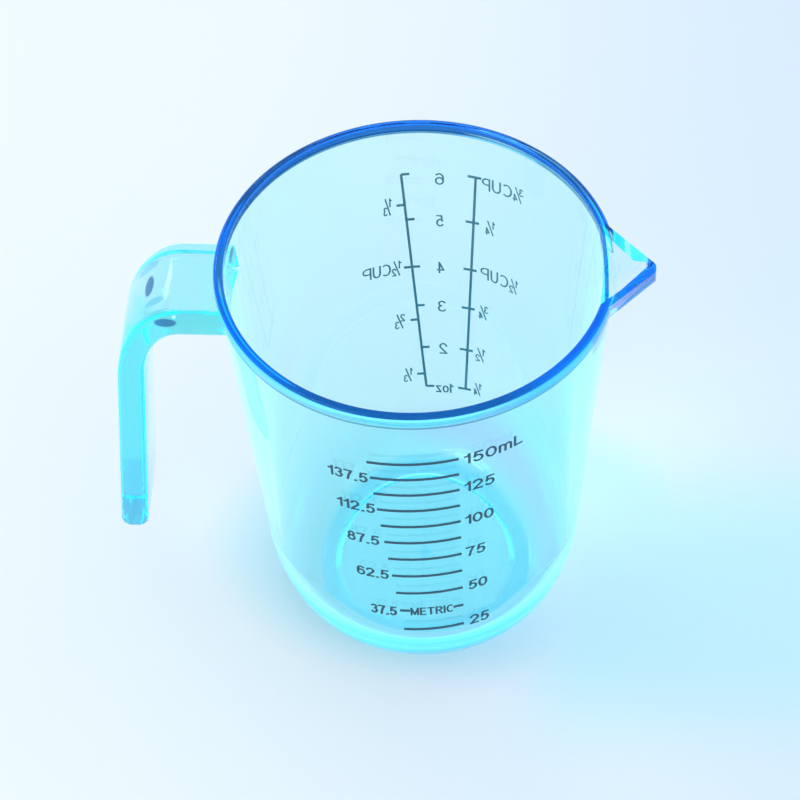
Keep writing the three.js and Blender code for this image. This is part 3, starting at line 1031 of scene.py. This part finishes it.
# The same for the back, with the ounces that it stands at and the height of a capital
OUNCE_WORDS = (
    (6, "6", -3.31, -1.67, -1.24, 2.7),
    (5, "5", -3.12, -1.75, -0.44, 2.7),
    (4, "4", -3.10, -1.70, -0.25, 2.7),
    (3, "3", -3.29, -1.72, -0.18, 2.7),
    (2, "2", -3.37, -1.85, -0.26, 2.7),
    (1, "1oz", -4.50, -1.00, -0.34, 2.4),
    (6, "3/4", -18.35, -16.11, -1.0, 3.3),
    (6, "C", -15.97, -13.96, -1.0, 2.8),
    (6, "U", -13.78, -12.03, -1.0, 2.8),
    (6, "P", -11.73, -10.13, -1.0, 2.8),
    (5, "1/4", -12.71, -10.70, -0.33, 3.3),
    (4, "1/2", -17.47, -15.49, -0.7, 3.3),
    (4, "C", -15.32, -13.41, -0.4, 2.8),
    (4, "U", -13.25, -11.72, -0.25, 2.8),
    (4, "P", -11.42, -9.76, -0.1, 2.8),
    (3, "3/4", -11.29, -9.31, -0.2, 3.3),
    (2, "1/2", -10.70, -8.65, -0.45, 3.3),
    (1, "1/4", -9.93, -8.23, 0.65, 3.3),
    (16 / 3, "1/3", 5.94, 7.58, 0, 4.0),
    (4, "1/2", 4.58, 6.44, 0.1, 3.6),
    (4, "C", 6.53, 8.30, 0.1, 2.8),
    (4, "U", 8.38, 9.93, 0.1, 2.8),
    (4, "P", 10.16, 11.88, 0.1, 2.8),
    (8 / 3, "2/3", 4.26, 6.23, 0, 3.6),
    (4 / 3, "1/3", 3.07, 4.92, 0, 3.6),
)
OUNCE_PEN, FRACTION_PEN = 0.75, 0.6

# How far up each whole ounce lies, from the lowest mark to the highest
OUNCE_SHARES = (0, 0.196, 0.397, 0.579, 0.797, 1)


def ounce_height(ounces):
    """Height of a mark on the back, between the marks of whole ounces."""
    s = sizes()
    top = CUP_HEIGHT - s.ounce_top_drop
    below = min(int(ounces) - 1, len(OUNCE_SHARES) - 2)
    part = ounces - 1 - below
    share = OUNCE_SHARES[below] * (1 - part) + OUNCE_SHARES[below + 1] * part
    return s.ounce_bottom + share * (top - s.ounce_bottom)


class CUP_OT_metric_print(bpy.types.Operator):
    """Prints the millilitre numbers beside the lines on the front."""

    bl_idname = "cup.metric_print"
    bl_label = "Metric numbers"

    def execute(self, context):
        s = sizes()
        words = []
        for node, (text, left, right, up) in METRIC_WORDS.items():
            cap = (METRIC_CAP_RIGHT if left > 0 else METRIC_CAP_LEFT) * MM
            middle = line_height(f"metric_line_{node}") + up * MM
            ends = (left * MM, right * MM)
            words.append(word(text, FRONT, s.metric_lean, *ends, middle, cap, s.pen))
        level = line_height("metric_dash_left", "metric_dash_right")
        for text, left, right, up, cap, share in DASH_WORDS:
            middle = level + up * MM
            ends = (left * MM, right * MM)
            pen = s.pen * share
            words.append(word(text, FRONT, s.metric_lean, *ends, middle, cap * MM, pen))
        gather("metric_words", words, front_ink())
        return {"FINISHED"}


class CUP_OT_ounce_print(bpy.types.Operator):
    """Prints the ounces and the fractions of a cup on the back."""

    bl_idname = "cup.ounce_print"
    bl_label = "Ounce and cup numbers"

    def execute(self, context):
        s = sizes()
        words = []
        for ounces, text, left, right, up, cap in OUNCE_WORDS:
            pen = s.pen * (FRACTION_PEN if "/" in text else OUNCE_PEN)
            middle = ounce_height(ounces) + up * MM
            ends = (left * MM, right * MM)
            words.append(word(text, BACK, s.ounce_lean, *ends, middle, cap * MM, pen))
        gather("ounce_words", words, back_ink())
        return {"FINISHED"}


class CUP_OT_print_lines(bpy.types.Operator):
    """Gives every printed line and stem its ink."""

    bl_idname = "cup.print_lines"
    bl_label = "Lines and stems"

    def execute(self, context):
        for name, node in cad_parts.items():
            if name.startswith("metric"):
                give(node, front_ink())
            elif name.endswith("scale"):
                give(node, back_ink())
        return {"FINISHED"}


# The stage

SKY_COLOUR, SKY_STRENGTH = (0.935, 0.985, 1, 1), 0.88

# The lamps: name, place, side and power in watts, and where they point
LAMP_TARGET = Vector((0, 0, 0.04))
LAMPS = (
    ("key_light", (-0.5, -0.35, 0.9), 0.5, 2.7),
    ("rim_light", (-0.54, 0.63, 0.6), 0.15, 0.3),
)

# The camera: angles in degrees, distance, how far its target lies below the rim, the picture's
# width and the focal length in pixels, and the pixels from its middle to the target
AZIMUTH, ELEVATION, ROLL = 4.3276, 50.5795, -2.0909
DISTANCE = 0.5999
TARGET_DROP = 39.6 * MM
FRAME_PIXELS = 800
FOCAL_PIXELS = 3494.99
TARGET_RIGHT, TARGET_DOWN = 20.1925, 17.5229


def soft_light(name, place, side, power):
    """A square lamp that points at the cup."""
    deselect()
    bpy.ops.object.light_add(type="AREA", location=place)
    light = bpy.context.object
    light.name = name
    light.data.shape = "RECTANGLE"
    light.data.size = light.data.size_y = side
    light.data.energy = power
    light.rotation_euler = (Vector(place) - LAMP_TARGET).to_track_quat("Z", "Y").to_euler()


class CUP_OT_stage(bpy.types.Operator):
    """Sets the floor, the light and the camera."""

    bl_idname = "cup.stage"
    bl_label = "Stage"

    def execute(self, context):
        scene = context.scene
        deselect()
        bpy.ops.mesh.primitive_plane_add(size=6, location=(0, 0, -0.05 * MM))
        floor = named("pale_floor")
        give(floor, self.floor_paint())
        world = scene.world or bpy.data.worlds.new("World")
        scene.world = world
        world.use_nodes = True
        sky = world.node_tree.nodes["Background"]
        sky.inputs["Color"].default_value = SKY_COLOUR
        sky.inputs["Strength"].default_value = SKY_STRENGTH
        for lamp in LAMPS:
            soft_light(*lamp)
        self.set_camera(scene)
        scene.view_settings.view_transform = "Standard"
        return {"FINISHED"}

    def floor_paint(self):
        """A pale floor, bluer towards its right, with a painted tinted shadow that the cup throws
        round it and to its right.
        """
        f = finish()
        paint = Paint("pale_floor_paint")
        paint.shader.inputs["Roughness"].default_value = 0.6
        paint.shader.inputs["Specular IOR Level"].default_value = 0.1
        x, y, _ = paint.place()
        shade = paint.mix(paint.fade(x, -57 * MM, 113 * MM), f.floor, f.floor_far)
        # Painted tinted shadow round the cup and in a strip to its right.
        along = paint.maths("SUBTRACT", x, 9 * MM)
        across = paint.both(paint.maths("SUBTRACT", y, 4 * MM), 1.5)
        out = paint.maths("ADD", paint.both(along, along), paint.both(across, across))
        round_shadow = paint.both(paint.fade(paint.maths("SQRT", out), 52 * MM, 34 * MM), 0.8)
        shadow_strip = paint.maths("ABSOLUTE", paint.maths("ADD", y, 7 * MM))
        shadow_strip = paint.fade(shadow_strip, 42 * MM, 12 * MM)
        cast_shadow = paint.both(shadow_strip, paint.fade(x, 10 * MM, 30 * MM), paint.fade(x, 0.5, 0.1), 0.85)
        shade = paint.mix(paint.maths("MAXIMUM", round_shadow, cast_shadow), shade, f.pool)
        paint.feed(paint.shader.inputs["Base Color"], shade)
        return paint.material

    def set_camera(self, scene):
        """A long lens from the front, high up and a little to the spout's side."""
        azimuth, elevation = math.radians(AZIMUTH), math.radians(ELEVATION)
        target = Vector((AXIS_X, 0, CUP_HEIGHT - TARGET_DROP))
        aim = Vector((TARGET_RIGHT / FOCAL_PIXELS, -TARGET_DOWN / FOCAL_PIXELS, -1))
        back = Vector(
            (
                math.sin(azimuth) * math.cos(elevation),
                -math.cos(azimuth) * math.cos(elevation),
                math.sin(elevation),
            )
        )
        deselect()
        bpy.ops.object.camera_add(location=target + DISTANCE * back)
        camera = bpy.context.object
        camera.name = "photo_camera"
        camera.rotation_mode = "QUATERNION"
        level = back.to_track_quat("Z", "Y") @ Quaternion((0, 0, 1), math.radians(ROLL))
        aside = Vector((0, 0, -1)).rotation_difference(aim)
        camera.rotation_quaternion = level @ aside.inverted()
        camera.data.sensor_width = 36
        camera.data.lens = FOCAL_PIXELS / FRAME_PIXELS * camera.data.sensor_width
        camera.data.clip_start, camera.data.clip_end = 0.01, 20
        scene.camera = camera


class CUP_PT_tools(bpy.types.Panel):
    """Lists the steps that make the cup."""

    bl_idname = "CUP_PT_tools"
    bl_label = "Measuring cup"
    bl_space_type = "VIEW_3D"
    bl_region_type = "UI"
    bl_category = "Cup"

    def draw(self, context):
        for step in STEPS:
            self.layout.operator(step.bl_idname)


STEPS = (CUP_OT_moulding, CUP_OT_print_lines, CUP_OT_metric_print, CUP_OT_ounce_print, CUP_OT_stage)
CLASSES = (CupSizes, CupFinish, *STEPS, CUP_PT_tools)


def register():
    for cls in CLASSES:
        bpy.utils.register_class(cls)
    bpy.types.Scene.cup_sizes = bpy.props.PointerProperty(type=CupSizes)
    bpy.types.Scene.cup_finish = bpy.props.PointerProperty(type=CupFinish)


def unregister():
    del bpy.types.Scene.cup_finish
    del bpy.types.Scene.cup_sizes
    for cls in reversed(CLASSES):
        bpy.utils.unregister_class(cls)


def main():
    register()
    for step in STEPS:
        group, name = step.bl_idname.split(".")
        getattr(getattr(bpy.ops, group), name)()
    bpy.context.view_layer.update()


if __name__ == "__main__":
    main()
